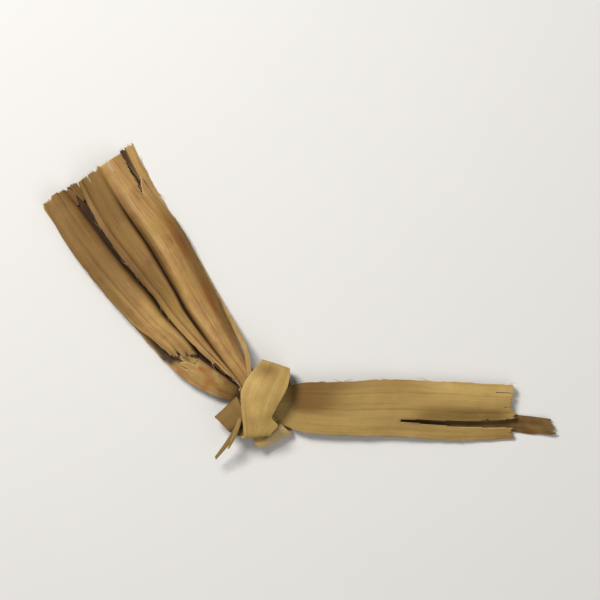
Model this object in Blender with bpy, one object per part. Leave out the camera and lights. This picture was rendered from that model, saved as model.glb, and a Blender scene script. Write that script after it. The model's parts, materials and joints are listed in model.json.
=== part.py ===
"""Torn banana leaf: three dried ribbons of one leaf strip, held together by an overhand knot.

The strip is torn along its veins into a wide ribbon, a side ribbon folded double, a narrow
strand and a bare inner vein. The wide ribbon is tied in an overhand knot. The next two run
through the knot, which grips them, and the vein ends at it. The piece lies flat: +X runs along the right tail, +Y towards the
fanned tail, and +Z up. The knot's middle is the origin of the stations below, which are in
millimetres; the finished object's origin is the centre of the bottom of its box.

Each ribbon is a thin sheet, swept through stations. A station says where the middle of the
ribbon is, which way its width points, how wide it is and how it is arched or pleated there.
"""

import math
from collections import namedtuple

import bmesh
import bpy
import numpy as np
from mathutils import Vector

MM = 0.001
LEAF_WALL = 0.45  # wall of a dried ribbon, in millimetres
LOWEST_MIDDLE = LEAF_WALL / 2  # a ribbon pressed on the floor has its middle this high
PLEAT_PLACE = 0.04  # where the wide ribbon's sharp pleat starts, as a share of its half width
PLEAT_DRIFT = -0.088  # how far the pleat moves across from each station to the next
PLEAT_SHARE = 0.17  # width of that pleat, as a share of the half width
SLIT_PLACE = -0.42  # the tear in the right tail, as a share of the half width
FOLD_ROUND = 0.14  # share of the side ribbon's section that its rounded fold takes
TONGUE_DROP = 0.35  # how far the torn tongue of the right tail lies below the rest

# x, y, z: the middle of the ribbon. across: which way +1 of its width points, in degrees in
# plan. half: half its width. arch: how far the middle stands out from its edges. pleat: the
# depth of the pleat. lean: how much higher the +1 edge is than the middle.
Station = namedtuple("Station", "x y z across half arch pleat lean")

WIDE_RIBBON = [
    # the fanned tail, from its cut end to the knot
    Station(-32.9, 49.5, 1.75, 34.8, 5.5, 2.4, 0.7, -0.55),
    Station(-27.3, 40.5, 1.95, 34.8, 6.5, 2.7, 1.8, -0.50),
    Station(-21.4, 32.9, 2.20, 34.8, 6.8, 2.8, 2.3, -0.35),
    Station(-16.2, 24.8, 2.60, 34.8, 5.8, 2.8, 2.3, -0.30),
    Station(-13.1, 19.9, 2.95, 34.8, 5.3, 2.6, 2.1, -0.20),
    Station(-8.7, 13.6, 3.60, 35.0, 4.1, 2.1, 1.5, -0.10),
    Station(-5.4, 9.0, 4.35, 38.0, 3.0, 1.4, 0.9, 0.0),
    Station(-2.7, 5.6, 4.80, 44.0, 2.4, 0.7, 0.4, 0.0),
    # the first strand of the knot, and its turn round the lower edge
    Station(-0.9, 2.6, 4.70, 42.0, 2.3, 0.4, 0.2, 0.0),
    Station(0.4, -0.8, 4.20, 40.0, 2.3, 0.2, 0.0, 0.2),
    Station(1.1, -3.6, 3.85, 46.0, 2.8, 0.0, 0.0, 0.1),
    Station(1.7, -5.5, 3.80, 50.0, 3.3, 0.0, 0.0, 0.0),
    Station(3.0, -6.9, 3.60, 43.0, 3.4, 0.0, 0.0, 0.1),
    Station(4.3, -7.9, 2.10, 28.7, 3.4, 0.0, 0.0, 0.0),
    Station(4.4, -7.0, 0.80, 18.0, 3.3, 0.0, 0.0, 0.0),
    # the strand behind the knot, pressed flat on the floor
    Station(4.4, -4.8, LOWEST_MIDDLE, 8.0, 3.1, 0.0, 0.0, 0.0),
    Station(4.2, -1.5, LOWEST_MIDDLE, 3.4, 3.0, 0.0, 0.0, 0.0),
    Station(4.1, 2.5, LOWEST_MIDDLE, -4.0, 3.1, 0.0, 0.0, 0.0),
    Station(4.0, 5.6, 0.45, -10.0, 3.1, 0.0, 0.0, 0.0),
    # the turn over the upper edge, and the wrap across the front
    Station(4.05, 7.5, 1.90, -15.0, 3.05, 0.0, 0.0, 0.0),
    Station(4.1, 8.0, 4.10, -17.8, 3.05, 0.1, 0.0, 0.0),
    Station(3.9, 7.4, 6.20, -17.0, 3.3, 0.3, 0.0, 0.0),
    Station(3.2, 5.9, 7.40, -15.0, 3.85, 0.5, 0.0, 0.0),
    Station(2.0, 3.6, 7.85, -13.0, 4.3, 0.7, 0.0, 0.0),
    Station(1.0, 1.4, 7.80, -10.0, 4.2, 0.8, 0.0, 0.0),
    Station(0.5, -0.9, 7.45, -7.0, 3.6, 0.8, 0.0, 0.0),
    Station(0.25, -2.9, 6.95, -3.0, 3.05, 0.7, 0.0, 0.0),
    Station(0.9, -4.8, 6.40, 3.0, 3.6, 0.4, 0.0, 0.0),
    Station(0.3, -6.4, 5.95, 6.0, 2.9, 0.2, 0.0, 0.0),
    # the turn round the bottom of the wrap, and the corner that opens out beside it
    Station(0.1, -6.95, 5.45, 7.0, 2.8, 0.0, 0.0, 0.0),
    Station(-0.4, -6.5, 5.00, 10.0, 2.9, 0.0, 0.0, 0.0),
    Station(-1.5, -5.8, 4.95, 16.0, 3.0, 0.0, 0.0, -0.1),
    Station(-3.1, -4.7, 4.85, 26.0, 2.8, 0.0, 0.0, -0.2),
    Station(-4.7, -3.2, 4.50, 34.0, 2.6, 0.0, 0.0, -0.2),
    Station(-5.6, -1.9, 4.15, 39.0, 2.8, -0.1, 0.0, 0.0),
    Station(-6.35, -0.95, 3.40, 42.0, 3.1, 0.0, 0.0, 0.0),
    # the strand that runs back under the knot and out as the right tail
    Station(-5.9, -1.15, 2.80, 46.0, 2.8, 0.0, 0.0, 0.0),
    Station(-4.7, -1.5, 2.65, 58.0, 2.4, 0.0, 0.0, 0.0),
    Station(-2.4, -1.5, 2.60, 80.0, 2.1, 0.0, 0.0, 0.0),
    Station(2.0, -1.2, 2.55, 90.0, 2.9, 0.1, 0.0, 0.0),
    Station(6.0, -0.9, 2.55, 90.0, 4.0, 0.3, 0.0, 0.2),
    Station(9.5, -0.9, 2.60, 90.0, 5.1, 0.5, 0.0, 0.2),
    Station(17.5, -1.3, 2.50, 90.0, 5.6, 0.9, 0.0, 0.1),
    Station(30.0, -1.2, 1.95, 90.0, 6.0, 0.9, 0.0, 0.2),
    Station(43.0, -1.9, 1.45, 89.0, 6.1, 0.8, 0.0, 0.3),
    Station(54.5, -2.0, 1.25, 88.0, 5.6, 0.7, 0.0, 0.3),
]
TAIL_SLIT_FROM = 43.2  # place along the list where the tear in the right tail begins

# arch is the upper flap's arch, pleat the height between the two flaps, and lean how much
# further than the upper flap the lower one reaches.
SIDE_RIBBON = [
    # the fanned tail, folded double along its right side
    Station(-42.5, 43.4, 1.30, 36.0, 2.6, 1.0, 1.6, 0.5),
    Station(-36.6, 34.6, 1.40, 38.0, 3.2, 1.2, 1.9, 0.3),
    Station(-30.6, 26.8, 1.55, 40.0, 3.4, 1.3, 2.2, 0.1),
    Station(-25.0, 20.4, 1.85, 40.0, 3.4, 1.3, 2.3, 0.1),
    Station(-21.2, 16.2, 2.10, 42.0, 2.8, 1.0, 2.2, 0.7),
    Station(-16.95, 12.3, 2.45, 43.0, 2.45, 0.7, 1.9, 1.8),
    Station(-13.7, 8.4, 2.80, 48.0, 2.35, 0.4, 1.2, 1.3),
    # only the lower flap runs on, into the knot
    Station(-10.9, 5.6, 2.75, 50.5, 2.8, 0.1, 0.5, 0.1),
    Station(-7.7, 3.6, 2.50, 56.0, 2.5, 0.0, 0.2, 0.0),
    Station(-4.6, 2.1, 1.90, 62.0, 1.9, 0.0, 0.1, 0.0),
    Station(-1.5, 1.4, 1.40, 72.0, 1.5, 0.0, 0.0, 0.0),
    Station(1.5, 0.9, 1.30, 74.0, 1.4, 0.0, 0.0, 0.0),
    Station(5.0, 0.0, 1.30, 76.0, 1.5, 0.0, 0.0, 0.0),
    Station(9.0, -0.9, 1.35, 78.0, 1.8, 0.1, 0.0, 0.0),
    # under the right tail, to the tip that looks out beyond it
    Station(15.0, -2.0, 1.10, 82.0, 2.1, 0.2, 0.0, 0.0),
    Station(26.0, -3.0, 0.60, 85.0, 2.3, 0.2, 0.0, 0.0),
    Station(40.0, -3.6, 0.25, 87.0, 2.1, 0.0, 0.0, 0.0),
    Station(50.0, -4.1, LOWEST_MIDDLE, 91.0, 1.9, 0.0, 0.0, 0.0),
    Station(54.5, -4.5, LOWEST_MIDDLE, 93.0, 1.9, 0.0, 0.0, 0.0),
    Station(58.5, -4.9, 0.45, 96.0, 1.9, 0.3, 0.0, 0.0),
    Station(63.0, -5.2, 1.00, 100.0, 1.6, 0.4, 0.0, 0.0),
]
UPPER_FLAP_ENDS = 5.95  # place along the list where the upper flap is torn off
TEAR_DEPTH = 0.8  # how far the torn end's teeth reach, in stations

NARROW_STRAND = [
    # beside the wide ribbon's right edge, from its cut end to the knot
    Station(-27.5, 53.85, 0.34, 34.8, 1.6, 0.05, 0.0, 0.0),
    Station(-23.9, 46.55, 0.34, 34.8, 1.6, 0.05, 0.0, 0.0),
    Station(-19.2, 39.3, 0.36, 34.8, 1.3, 0.05, 0.0, 0.0),
    Station(-13.4, 30.6, 0.60, 34.8, 0.9, 0.1, 0.0, 0.0),
    Station(-8.65, 22.6, 1.05, 32.0, 0.62, 0.1, 0.0, 0.0),
    Station(-4.66, 15.95, 2.40, 25.0, 0.50, 0.1, 0.0, 0.0),
    Station(-2.22, 11.2, 5.00, 14.0, 0.44, 0.1, 0.0, 0.0),
    # over the first strand and under the front wrap
    Station(-1.65, 8.4, 5.82, 4.0, 0.46, 0.0, 0.0, 0.0),
    Station(-1.25, 5.0, 6.30, -4.0, 0.46, 0.0, 0.0, 0.0),
    Station(-1.55, 0.9, 6.25, -12.0, 0.48, 0.0, 0.0, 0.0),
    Station(-2.7, -2.4, 5.95, -20.0, 0.48, 0.0, 0.0, 0.0),
    # the splinter that sticks out at the lower left
    Station(-4.2, -5.4, 5.85, -26.0, 0.45, 0.0, 0.0, 0.0),
    Station(-6.3, -8.7, 5.30, -32.0, 0.40, 0.0, 0.0, 0.0),
    Station(-8.6, -11.6, 4.00, -36.0, 0.22, 0.0, 0.0, 0.0),
]

INNER_VEIN = [
    # brown and torn, in the gap between the side ribbon's fold and the wide ribbon
    Station(-39.1, 45.8, 0.85, 35.0, 0.9, 0.1, 0.0, 0.0),
    Station(-37.0, 42.2, 0.55, 36.0, 1.1, 0.1, 0.0, 0.0),
    Station(-33.4, 37.4, 0.42, 37.0, 1.3, 0.1, 0.0, 0.0),
    Station(-30.1, 33.0, 0.42, 37.0, 1.3, 0.1, 0.0, 0.0),
    Station(-27.2, 29.4, 0.42, 38.0, 1.3, 0.1, 0.0, 0.0),
    Station(-24.2, 26.2, 0.42, 38.0, 1.3, 0.1, 0.0, 0.0),
    Station(-21.6, 23.2, 0.42, 40.0, 1.3, 0.1, 0.0, 0.0),
    Station(-18.5, 19.0, 0.45, 40.0, 1.3, 0.1, 0.0, 0.0),
    Station(-15.1, 14.7, 0.55, 42.0, 1.3, 0.1, 0.0, 0.0),
    Station(-11.9, 10.7, 0.65, 45.0, 1.3, 0.1, 0.0, 0.0),
    Station(-9.0, 8.2, 0.85, 50.0, 1.2, 0.1, 0.0, 0.0),
    Station(-6.4, 5.9, 0.95, 54.0, 1.1, 0.1, 0.0, 0.0),
]

# rows between two stations, columns across
WIDE_ROWS, WIDE_COLUMNS = 3, 12
SIDE_ROWS, SIDE_COLUMNS = 3, 14
STRAND_ROWS, STRAND_COLUMNS = 3, 2
LEAF_ROUGHNESS = 0.62


def between(stations, place):
    """The station at a fractional place along a list, on a Catmull-Rom curve."""
    last = len(stations) - 1
    here = min(int(place), last - 1)
    share = place - here
    rows = [np.array(stations[min(max(here + k, 0), last)]) for k in (-1, 0, 1, 2)]
    before, start, end, after = rows
    slope_in = (end - before) / 2
    slope_out = (after - start) / 2
    square, cube = share**2, share**3
    value = (
        (2 * cube - 3 * square + 1) * start
        + (cube - 2 * square + share) * slope_in
        + (3 * square - 2 * cube) * end
        + (cube - square) * slope_out
    )
    return Station(*value)


def frame_at(stations, place):
    """(middle, across, outward) of a ribbon at a place along it."""
    last = len(stations) - 1
    here = between(stations, place)
    ahead = between(stations, min(place + 0.05, last))
    back = between(stations, max(place - 0.05, 0))
    along = Vector((ahead.x - back.x, ahead.y - back.y, ahead.z - back.z))
    angle = math.radians(here.across)
    across = Vector((math.cos(angle), math.sin(angle), 0))
    outward = along.cross(across).normalized()
    return here, across, outward


def ripple(place, turns, size):
    """A slow unevenness along a ribbon, so that no edge is ruled straight."""
    return size * (math.sin(turns * place) + 0.6 * math.sin(2.3 * turns * place + 1.1))


def wide_section(here, place, share):
    """(sideways, outward) of the wide ribbon's section, at a share from -1 to 1."""
    middle = PLEAT_PLACE + PLEAT_DRIFT * place
    pleat = here.pleat * math.exp(-(((share - middle) / PLEAT_SHARE) ** 2))
    rise = here.arch * (1 - share**2) - pleat + here.lean * share
    if place > TAIL_SLIT_FROM and share < SLIT_PLACE:
        rise -= TONGUE_DROP * min(1.0, place - TAIL_SLIT_FROM)
    return here.half * share, rise


def side_section(here, place, share):
    """(sideways, outward) of the side ribbon: -1 is its upper free edge, 0 the fold, 1 the lower edge."""
    reach = abs(share)
    opening = 1.0
    if reach < FOLD_ROUND:
        opening = math.sqrt(1 - (1 - reach / FOLD_ROUND) ** 2)
    sideways = here.half * (1 - 2 * reach)
    rise = -math.copysign(here.pleat / 2 * opening, share)
    if share < 0:
        rise += here.arch * math.sin(math.pi * reach)
    else:
        sideways -= here.lean * reach
    return sideways, rise


def flat_section(here, place, share):
    """(sideways, outward) of the narrow strand."""
    return here.half * share, here.arch * (1 - share**2)


def sheet_mesh(name, stations, rows, shares, section, kept):
    """A mesh of one sheet: a grid over the stations, with only the faces that kept() allows."""
    shape = bmesh.new()
    count = (len(stations) - 1) * rows
    grid = []
    for row in range(count + 1):
        place = row / rows
        here, across, outward = frame_at(stations, place)
        middle = Vector((here.x, here.y, here.z))
        line = []
        for share in shares(place):
            sideways, rise = section(here, place, share)
            spot = middle + across * sideways + outward * rise
            spot.z = max(spot.z, LOWEST_MIDDLE)
            line.append(shape.verts.new(spot * MM))
        grid.append(line)
    for row in range(count):
        place = (row + 0.5) / rows
        for column in range(len(grid[0]) - 1):
            if kept(place, column):
                near, far = grid[row], grid[row + 1]
                corners = near[column], far[column], far[column + 1], near[column + 1]
                shape.faces.new(corners)
    loose = [v for v in shape.verts if not v.link_faces]
    bmesh.ops.delete(shape, geom=loose, context="VERTS")
    mesh = bpy.data.meshes.new(name)
    shape.to_mesh(mesh)
    shape.free()
    return mesh


def leaf_material(name, colour):
    material = bpy.data.materials.new(name)
    material.use_nodes = True
    shader = material.node_tree.nodes["Principled BSDF"]
    shader.inputs["Base Color"].default_value = (*colour, 1)
    shader.inputs["Roughness"].default_value = LEAF_ROUGHNESS
    shader.inputs["Metallic"].default_value = 0.0
    return material


def ribbon(name, mesh, colour):
    """The sheet as an object with a wall, in its own material."""
    mesh.materials.append(leaf_material(name, colour))
    mesh.shade_smooth()
    made = bpy.data.objects.new(name, mesh)
    bpy.context.scene.collection.objects.link(made)
    wall = made.modifiers.new("wall", "SOLIDIFY")
    wall.thickness = LEAF_WALL * MM
    wall.offset = 0
    return made


def even_shares(columns):
    return [2 * column / columns - 1 for column in range(columns + 1)]


def wide_ribbon():
    """The knotted ribbon. Its right tail is torn along one vein, which leaves a narrow tongue."""
    even = even_shares(WIDE_COLUMNS)
    slit_column = min(range(WIDE_COLUMNS), key=lambda k: abs((even[k] + even[k + 1]) / 2 - SLIT_PLACE))

    def shares(place):
        opened = max(0.0, place - TAIL_SLIT_FROM)
        gap = 0.07 + 0.05 * opened
        line = list(even)
        line[slit_column] = SLIT_PLACE - gap / 2
        line[slit_column + 1] = SLIT_PLACE + gap / 2
        uneven = 1 + ripple(place, 1.9, 0.012)
        return [share * uneven for share in line]

    def kept(place, column):
        return not (column == slit_column and place > TAIL_SLIT_FROM)

    mesh = sheet_mesh("wide_ribbon", WIDE_RIBBON, WIDE_ROWS, shares, wide_section, kept)
    return ribbon("wide_ribbon", mesh, (0.50, 0.34, 0.17))


def side_ribbon():
    """The ribbon folded double, whose upper flap is torn off short of the knot."""
    even = even_shares(SIDE_COLUMNS)
    first_lower = SIDE_COLUMNS // 2

    def shares(place):
        return even

    def kept(place, column):
        tooth = TEAR_DEPTH * (0.5 + 0.5 * math.sin(2.6 * column))
        return column >= first_lower or place < UPPER_FLAP_ENDS - tooth

    mesh = sheet_mesh("side_ribbon", SIDE_RIBBON, SIDE_ROWS, shares, side_section, kept)
    return ribbon("side_ribbon", mesh, (0.44, 0.29, 0.15))


def narrow_strip(name, stations, colour):
    """A thin strip with its natural sides and nothing torn out of it."""
    even = even_shares(STRAND_COLUMNS)

    def shares(place):
        return even

    def kept(place, column):
        return True

    mesh = sheet_mesh(name, stations, STRAND_ROWS, shares, flat_section, kept)
    return ribbon(name, mesh, colour)


def narrow_strand():
    """The thin strand, one end in the fan and the other a splinter beyond the knot."""
    return narrow_strip("narrow_strand", NARROW_STRAND, (0.56, 0.42, 0.22))


def inner_vein():
    """The brown inner vein that lies bare between the fan's two ribbons."""
    return narrow_strip("inner_vein", INNER_VEIN, (0.20, 0.11, 0.05))


def centre_on_floor(ribbons):
    """Moves the ribbons so that the origin is the centre of the bottom of their box."""
    bpy.context.view_layer.update()
    graph = bpy.context.evaluated_depsgraph_get()
    spots = []
    for made in ribbons:
        shown = made.evaluated_get(graph).to_mesh()
        spots += [tuple(v.co) for v in shown.vertices]
        made.evaluated_get(graph).to_mesh_clear()
    low, high = np.min(spots, axis=0), np.max(spots, axis=0)
    shift = Vector((-(low[0] + high[0]) / 2, -(low[1] + high[1]) / 2, -low[2]))
    for made in ribbons:
        made.location = shift


def main():
    for old in list(bpy.data.objects):
        bpy.data.objects.remove(old, do_unlink=True)
    centre_on_floor([wide_ribbon(), side_ribbon(), narrow_strand(), inner_vein()])


main()
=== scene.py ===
"""Torn banana leaf: the dried ribbons of one strip, tied in a flat overhand knot.

Every ribbon is swept through stations, in millimetres from the knot's middle. A station says
where the ribbon's middle is, which way its width points, how wide it is, and how it is arched,
pleated and leaned there. A place is a station's number in its list, or a number between two. A
share is where a point is across the width, from -1 to 1.
"""

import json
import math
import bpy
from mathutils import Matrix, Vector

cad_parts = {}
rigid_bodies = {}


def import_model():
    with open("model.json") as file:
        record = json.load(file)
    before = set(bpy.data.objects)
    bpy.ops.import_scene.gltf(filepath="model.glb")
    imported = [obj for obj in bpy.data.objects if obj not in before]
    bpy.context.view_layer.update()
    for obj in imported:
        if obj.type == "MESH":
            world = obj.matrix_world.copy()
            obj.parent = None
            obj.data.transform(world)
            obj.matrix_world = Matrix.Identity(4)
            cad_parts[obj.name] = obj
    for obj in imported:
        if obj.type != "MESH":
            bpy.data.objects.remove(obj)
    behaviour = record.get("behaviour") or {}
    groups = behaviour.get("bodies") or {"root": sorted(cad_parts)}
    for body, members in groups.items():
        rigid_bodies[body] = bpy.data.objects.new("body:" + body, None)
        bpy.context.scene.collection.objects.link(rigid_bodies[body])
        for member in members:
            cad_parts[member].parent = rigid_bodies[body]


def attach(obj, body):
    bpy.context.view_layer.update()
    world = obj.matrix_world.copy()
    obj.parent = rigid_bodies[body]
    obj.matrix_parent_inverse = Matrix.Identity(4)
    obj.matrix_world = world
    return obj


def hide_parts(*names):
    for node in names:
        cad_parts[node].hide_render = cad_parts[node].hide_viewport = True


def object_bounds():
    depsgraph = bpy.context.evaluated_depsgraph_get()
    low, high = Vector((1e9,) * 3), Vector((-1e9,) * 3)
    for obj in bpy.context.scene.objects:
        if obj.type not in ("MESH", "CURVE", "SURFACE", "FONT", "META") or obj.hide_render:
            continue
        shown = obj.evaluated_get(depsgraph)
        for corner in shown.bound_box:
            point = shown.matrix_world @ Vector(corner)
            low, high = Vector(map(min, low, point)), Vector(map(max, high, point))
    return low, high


bl_info = {
    "name": "Torn banana leaf",
    "version": (1, 0, 0),
    "blender": (4, 5, 0),
    "location": "View3D > Sidebar > Leaf",
    "description": "Builds a knotted, torn strip of dried banana leaf",
    "category": "Object",
}

import bpy
import numpy as np
from mathutils import Vector

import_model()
CAD_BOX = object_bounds()

MM = 0.001
ROOT = "root"
KNOT = np.array([-9.151, -21.486, 0.0])  # the knot's middle in the frame, in millimetres
CAD_LOWEST = 0.225  # height of a pressed ribbon's middle in the stations below
ROW_STEP = 0.32  # length of one row of faces along a ribbon
MAP_HALF = 6.0  # half width on which the grain is laid out, so that it gathers in the knot
PLEAT_PLACE, PLEAT_DRIFT = 0.04, -0.088  # the pleat's share at place 0, and its shift per place
PLEAT_BANK, PLEAT_FLANK = 0.07, 0.19  # widths of the pleat's steep left and easy right side
SLIT_PLACE, TAIL_SLIT_FROM = -0.42, 43.02  # share of the tail's slit, and where it starts
TONGUE_DROP = 0.35  # how far the tongue beside the slit hangs down
FOLD_ROUND = 0.14  # how much of each flap is rounded at the side ribbon's fold
UPPER_FLAP_ENDS = 5.95  # where the side ribbon's upper flap is torn off, at the fold
FLAP_SLANT = 0.8  # how much sooner the upper flap ends at its free side than at the fold
LIP_ENDS, LIP_RETURNS = 5.75, 7.4  # between these the wide ribbon's left lip is torn off
CLEFT_ENDS = 1.02  # where the cleft between the wide ribbon and the thin strip ends
VEIN_SINK = 0.03  # how deep a raised vein is sunk into the leaf
FLOOR_GAP = 0.02  # how far fibres stay above the floor
FIBRE_ROOT = 0.12  # how deep a fibre starts inside the leaf
FIBRE_SEED = 12
FIBRE_PALE = 0.7  # how raw and pale a fibre looks
LOW_FIBRE = 0.8  # a fibre rooted lower than this never points down
PRESSED_BELOW = 1.5  # leaf lower than this is lowered, more so near the floor
SMALL_STEP = 0.2  # length of one row of faces along a small strip
AHEAD = 0.05  # how far ahead and back, in places, a ribbon's direction is measured
FINE_PLACES = 4000  # places at which a ribbon's length is measured
CAMERA_HEIGHT, VIEW_WIDTH, FLOOR_HALF = 0.62, 0.126, 1.5  # in metres
LATTICE = 64  # corners along each side of the noise's lattice, after which it repeats

# The columns of a station are x, y, z, across, half, arch, pleat, lean. Those that a station
# leaves out at its end are 0.
ACROSS, HALF, ARCH, PLEAT, LEAN, COLUMNS = range(3, 9)

WIDE_RIBBON = [
    (-32.9, 49.5, 1.75, 34.8, 5.5, 2.4, 0.7, -0.55),
    (-27.3, 40.5, 1.95, 34.8, 6.5, 2.7, 1.8, -0.5),
    (-21.4, 32.9, 2.2, 34.8, 6.8, 2.8, 2.3, -0.35),
    (-16.2, 24.8, 2.6, 34.8, 5.8, 2.8, 2.3, -0.3),
    (-13.1, 19.9, 2.95, 34.8, 5.3, 2.6, 2.1, -0.2),
    (-8.7, 13.6, 3.6, 35, 4.1, 2.1, 1.5, -0.1),
    (-5.4, 9, 4.35, 38, 3, 1.4, 0.9),
    (-2.7, 5.6, 4.8, 44, 2.4, 0.7, 0.4),
    (-0.9, 2.6, 4.7, 42, 2.3, 0.4, 0.2),
    (0.4, -0.8, 4.2, 40, 2.3, 0.2, 0, 0.2),
    (1.1, -3.6, 3.85, 46, 2.8, 0, 0, 0.1),
    (1.7, -5.5, 3.8, 50, 3.3),
    (3, -6.9, 3.6, 43, 3.4, 0, 0, 0.1),
    (4.3, -7.9, 2.1, 28.7, 3.4),
    (4.4, -7, 0.8, 18, 3.3),
    (4.4, -4.8, CAD_LOWEST, 8, 3.1),
    (4.2, -1.5, CAD_LOWEST, 3.4, 3),
    (4.1, 2.5, CAD_LOWEST, -4, 3.1),
    (4, 5.6, 0.45, -10, 3.1),
    (4.05, 7.5, 1.9, -15, 3.05),
    (4.1, 8, 4.1, -17.8, 3.05, 0.1),
    (3.9, 7.4, 6.2, -17, 3.3, 0.3),
    (3.2, 5.9, 7.4, -15, 3.85, 0.5),
    (2, 3.6, 7.85, -13, 4.3, 0.7),
    (1, 1.4, 7.8, -10, 4.2, 0.8),
    (0.5, -0.9, 7.45, -7, 3.6, 0.8),
    (0.25, -2.9, 6.95, -3, 3.05, 0.7),
    (0.9, -4.8, 6.4, 3, 3.6, 0.4),
    (0.3, -6.4, 5.95, 6, 2.9, 0.2),
    (0.1, -6.95, 5.45, 7, 2.8),
    (-0.4, -6.5, 5, 10, 2.9),
    (-1.5, -5.8, 4.95, 16, 3, 0, 0, -0.1),
    (-3.1, -4.7, 4.85, 26, 2.8, 0, 0, -0.2),
    (-4.7, -3.2, 4.5, 34, 2.6, 0, 0, -0.2),
    (-5.6, -1.9, 4.15, 39, 2.8, -0.1),
    (-6.35, -0.95, 3.4, 42, 3.1),
    (-5.9, -1.15, 2.8, 46, 2.8),
    (-4.7, -1.5, 2.65, 58, 2.4),
    (-2.4, -1.5, 2.6, 80, 2.1),
    (2, -1.2, 2.55, 90, 2.9, 0.1),
    (6, -0.9, 2.55, 90, 4, 0.3, 0, 0.2),
    (9.5, -0.9, 2.6, 90, 5.1, 0.5, 0, 0.2),
    (17.5, -1.3, 2.5, 90, 5.6, 0.9, 0, 0.1),
    (30, -1.2, 1.95, 90, 6, 0.9, 0, 0.2),
    (43, -1.9, 1.45, 89, 6.1, 0.8, 0, 0.3),
    (54.5, -2, 1.25, 88, 5.6, 0.7, 0, 0.3),
]

SIDE_RIBBON = [
    (-42.5, 43.4, 1.3, 36, 2.6, 1, 1.6, 0.5),
    (-36.6, 34.6, 1.4, 38, 3.2, 1.2, 1.9, 0.3),
    (-30.6, 26.8, 1.55, 40, 3.4, 1.3, 2.2, 0.1),
    (-25, 20.4, 1.85, 40, 3.4, 1.3, 2.3, 0.1),
    (-21.2, 16.2, 2.1, 42, 2.8, 1, 2.2, 0.7),
    (-16.95, 12.3, 2.45, 43, 2.45, 0.7, 1.9, 1.8),
    (-13.7, 8.4, 2.8, 48, 2.35, 0.4, 1.2, 1.3),
    (-10.9, 5.6, 2.75, 50.5, 2.8, 0.1, 0.5, 0.1),
    (-7.7, 3.6, 2.5, 56, 2.5, 0, 0.2),
    (-4.6, 2.1, 1.9, 62, 1.9, 0, 0.1),
    (-1.5, 1.4, 1.4, 72, 1.5),
    (1.5, 0.9, 1.3, 74, 1.4),
    (5, 0, 1.3, 76, 1.5),
    (9, -0.9, 1.35, 78, 1.8, 0.1),
    (15, -2, 1.1, 82, 2.1, 0.2),
    (26, -3, 0.6, 85, 2.3, 0.2),
    (40, -3.6, 0.25, 87, 2.1),
    (50, -4.1, CAD_LOWEST, 91, 1.9),
    (54.5, -4.5, CAD_LOWEST, 93, 1.9),
    (58.5, -4.9, 0.45, 96, 1.9, 0.3),
    (63, -5.2, 1, 100, 1.6, 0.4),
]

NARROW_STRAND = [
    (-27.5, 53.85, 0.34, 34.8, 1.6, 0.05),
    (-23.9, 46.55, 0.34, 34.8, 1.6, 0.05),
    (-19.2, 39.3, 0.36, 34.8, 1.3, 0.05),
    (-13.4, 30.6, 0.6, 34.8, 0.9, 0.1),
    (-8.65, 22.6, 1.05, 32, 0.62, 0.1),
    (-4.66, 15.95, 2.4, 25, 0.5, 0.1),
    (-2.22, 11.2, 5, 14, 0.44, 0.1),
    (-1.65, 8.4, 5.82, 4, 0.46),
    (-1.25, 5, 6.3, -4, 0.46),
    (-1.55, 0.9, 6.25, -12, 0.48),
    (-2.7, -2.4, 5.95, -20, 0.48),
    (-4.2, -5.4, 5.85, -26, 0.45),
    (-6.3, -8.7, 5.3, -32, 0.4),
    (-8.6, -11.6, 4, -36, 0.22),
]

INNER_VEIN = [
    (-39.1, 45.8, 0.85, 35, 0.9, 0.1),
    (-37, 42.2, 0.55, 36, 1.1, 0.1),
    (-33.4, 37.4, 0.42, 37, 1.3, 0.1),
    (-30.1, 33, 0.42, 37, 1.3, 0.1),
    (-27.2, 29.4, 0.42, 38, 1.3, 0.1),
    (-24.2, 26.2, 0.42, 38, 1.3, 0.1),
    (-21.6, 23.2, 0.42, 40, 1.3, 0.1),
    (-18.5, 19, 0.45, 40, 1.3, 0.1),
    (-15.1, 14.7, 0.55, 42, 1.3, 0.1),
    (-11.9, 10.7, 0.65, 45, 1.3, 0.1),
    (-9, 8.2, 0.85, 50, 1.2, 0.1),
    (-5.4, 5.1, 0.95, 54, 1.1, 0.1),
]

WEB_SHREDS = (
    [
        (-39.9, 44.6, 1.35, 40, 0.5, 0.1),
        (-38.9, 43.4, 1.45, 30, 0.9, 0.1),
        (-38, 42.2, 1.35, 40, 0.6),
        (-37.2, 41, 1.1, 45, 0.15),
    ],
    [
        (-38.6, 46, 1.55, 30, 0.7, 0.1, 0, 0.1),
        (-37.5, 44.5, 1.6, 34, 0.8, 0.1, 0, 0.1),
        (-36.5, 43.1, 1.5, 40, 0.5),
        (-35.9, 42.1, 1.35, 44, 0.12),
    ],
)

LIP_SHREDS = (
    [
        (-12.6, 8, 2.35, 50, 1, 0.1),
        (-14, 8.9, 2.75, 50, 0.9, 0.2, 0, 0.1),
        (-15.2, 9.4, 3, 56, 0.6, 0.1, 0, 0.2),
        (-16.3, 9.7, 3, 62, 0.15, 0, 0, 0.2),
    ],
    [
        (-12.2, 6.6, 2.35, 50, 0.9, 0.1),
        (-13.6, 7.5, 2.7, 50, 0.8, 0.1),
        (-15, 8.1, 2.9, 54, 0.5, 0.1, 0, -0.1),
        (-16.1, 8.4, 2.85, 60, 0.12, 0, 0, -0.1),
    ],
    [
        (-12.4, 5.4, 2.3, 46, 0.7, 0.1),
        (-13.8, 6.4, 2.6, 46, 0.6, 0.1),
        (-15.1, 6.9, 2.7, 46, 0.12),
    ],
)

SPLINTER = [
    (-3.3, -3, 6.5, -18, 0.3),
    (-3.8, -4.9, 6.45, -20, 0.34, 0.1),
    (-4.6, -7, 6.1, -24, 0.3, 0.1),
    (-5.9, -9.6, 5.2, -28, 0.1),
]

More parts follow.
